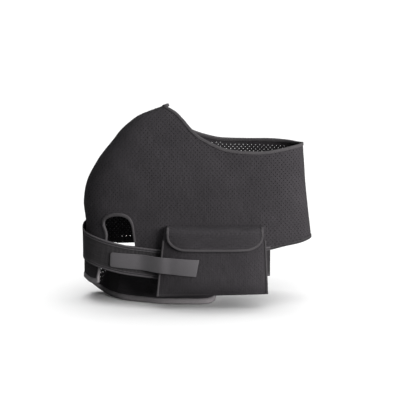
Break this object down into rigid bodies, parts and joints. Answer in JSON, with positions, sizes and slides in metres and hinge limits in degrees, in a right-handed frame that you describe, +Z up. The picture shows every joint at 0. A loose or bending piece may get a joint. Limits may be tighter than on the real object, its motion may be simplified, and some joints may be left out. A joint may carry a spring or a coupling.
{
  "type": "shoulder brace",
  "caption": "Perforated neoprene shoulder brace: a torso loop with a shoulder cap, an arm flap closed by an elastic strap with a smooth tab, and a lidded pocket.",
  "frame": {"origin": "middle of the bounding box at floor level, under the hem that the brace stands on", "axes": "+X across the torso loop away from the shoulder cap, +Y from the pocket towards the back, +Z up to the neck point"},
  "size_m": [0.4034, 0.1612, 0.3488],
  "materials": {
    "body_cloth": "matt perforated neoprene with a knitted face",
    "pocket_cloth": "matt knitted cloth",
    "edge_tape": "folded woven tape",
    "elastic": "ribbed elastic webbing",
    "tab_plastic": "smooth satin"
  },
  "bodies": {
    "root": {"front_panel": "body_cloth", "back_panel": "body_cloth", "arm_flap": "body_cloth", "neck_binding": "edge_tape", "band_binding": "edge_tape", "arch_binding": "edge_tape", "flap_binding": "edge_tape", "arm_strap": "elastic", "strap_tab": "tab_plastic", "pocket_back": "pocket_cloth", "pocket_front": "pocket_cloth", "pocket_lid": "pocket_cloth", "pocket_binding_left": "edge_tape", "pocket_binding_right": "edge_tape", "lid_binding": "edge_tape"}
  },
  "joints": []
}
